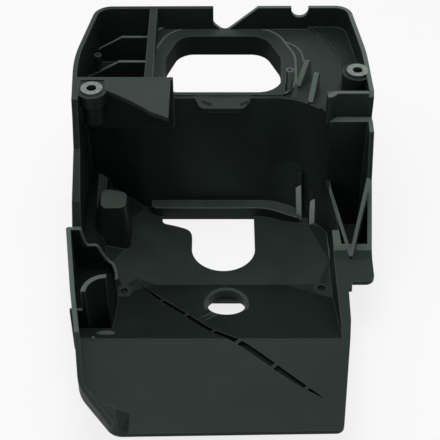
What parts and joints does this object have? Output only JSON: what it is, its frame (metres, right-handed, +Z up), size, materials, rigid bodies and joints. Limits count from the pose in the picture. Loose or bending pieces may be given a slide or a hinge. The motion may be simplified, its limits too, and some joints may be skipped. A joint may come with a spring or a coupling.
{
  "type": "cylinder cover",
  "caption": "Moulded plastic engine cylinder cover shown with its ribbed inner side up: trough, curved baffle, shelf opening and steel bushes.",
  "frame": {"origin": "bottom centre of the bounding box", "axes": "+X to the right as pictured, +Y from the low panel to the deep end, +Z up out of the open inner side"},
  "size_m": [0.1692, 0.2658, 0.0955],
  "materials": {
    "moulded_plastic": "fine satin grain",
    "sleeve_steel": "plain turned"
  },
  "bodies": {
    "root": {"cover": "moulded_plastic", "bush_left": "sleeve_steel", "bush_right": "sleeve_steel"}
  },
  "joints": []
}
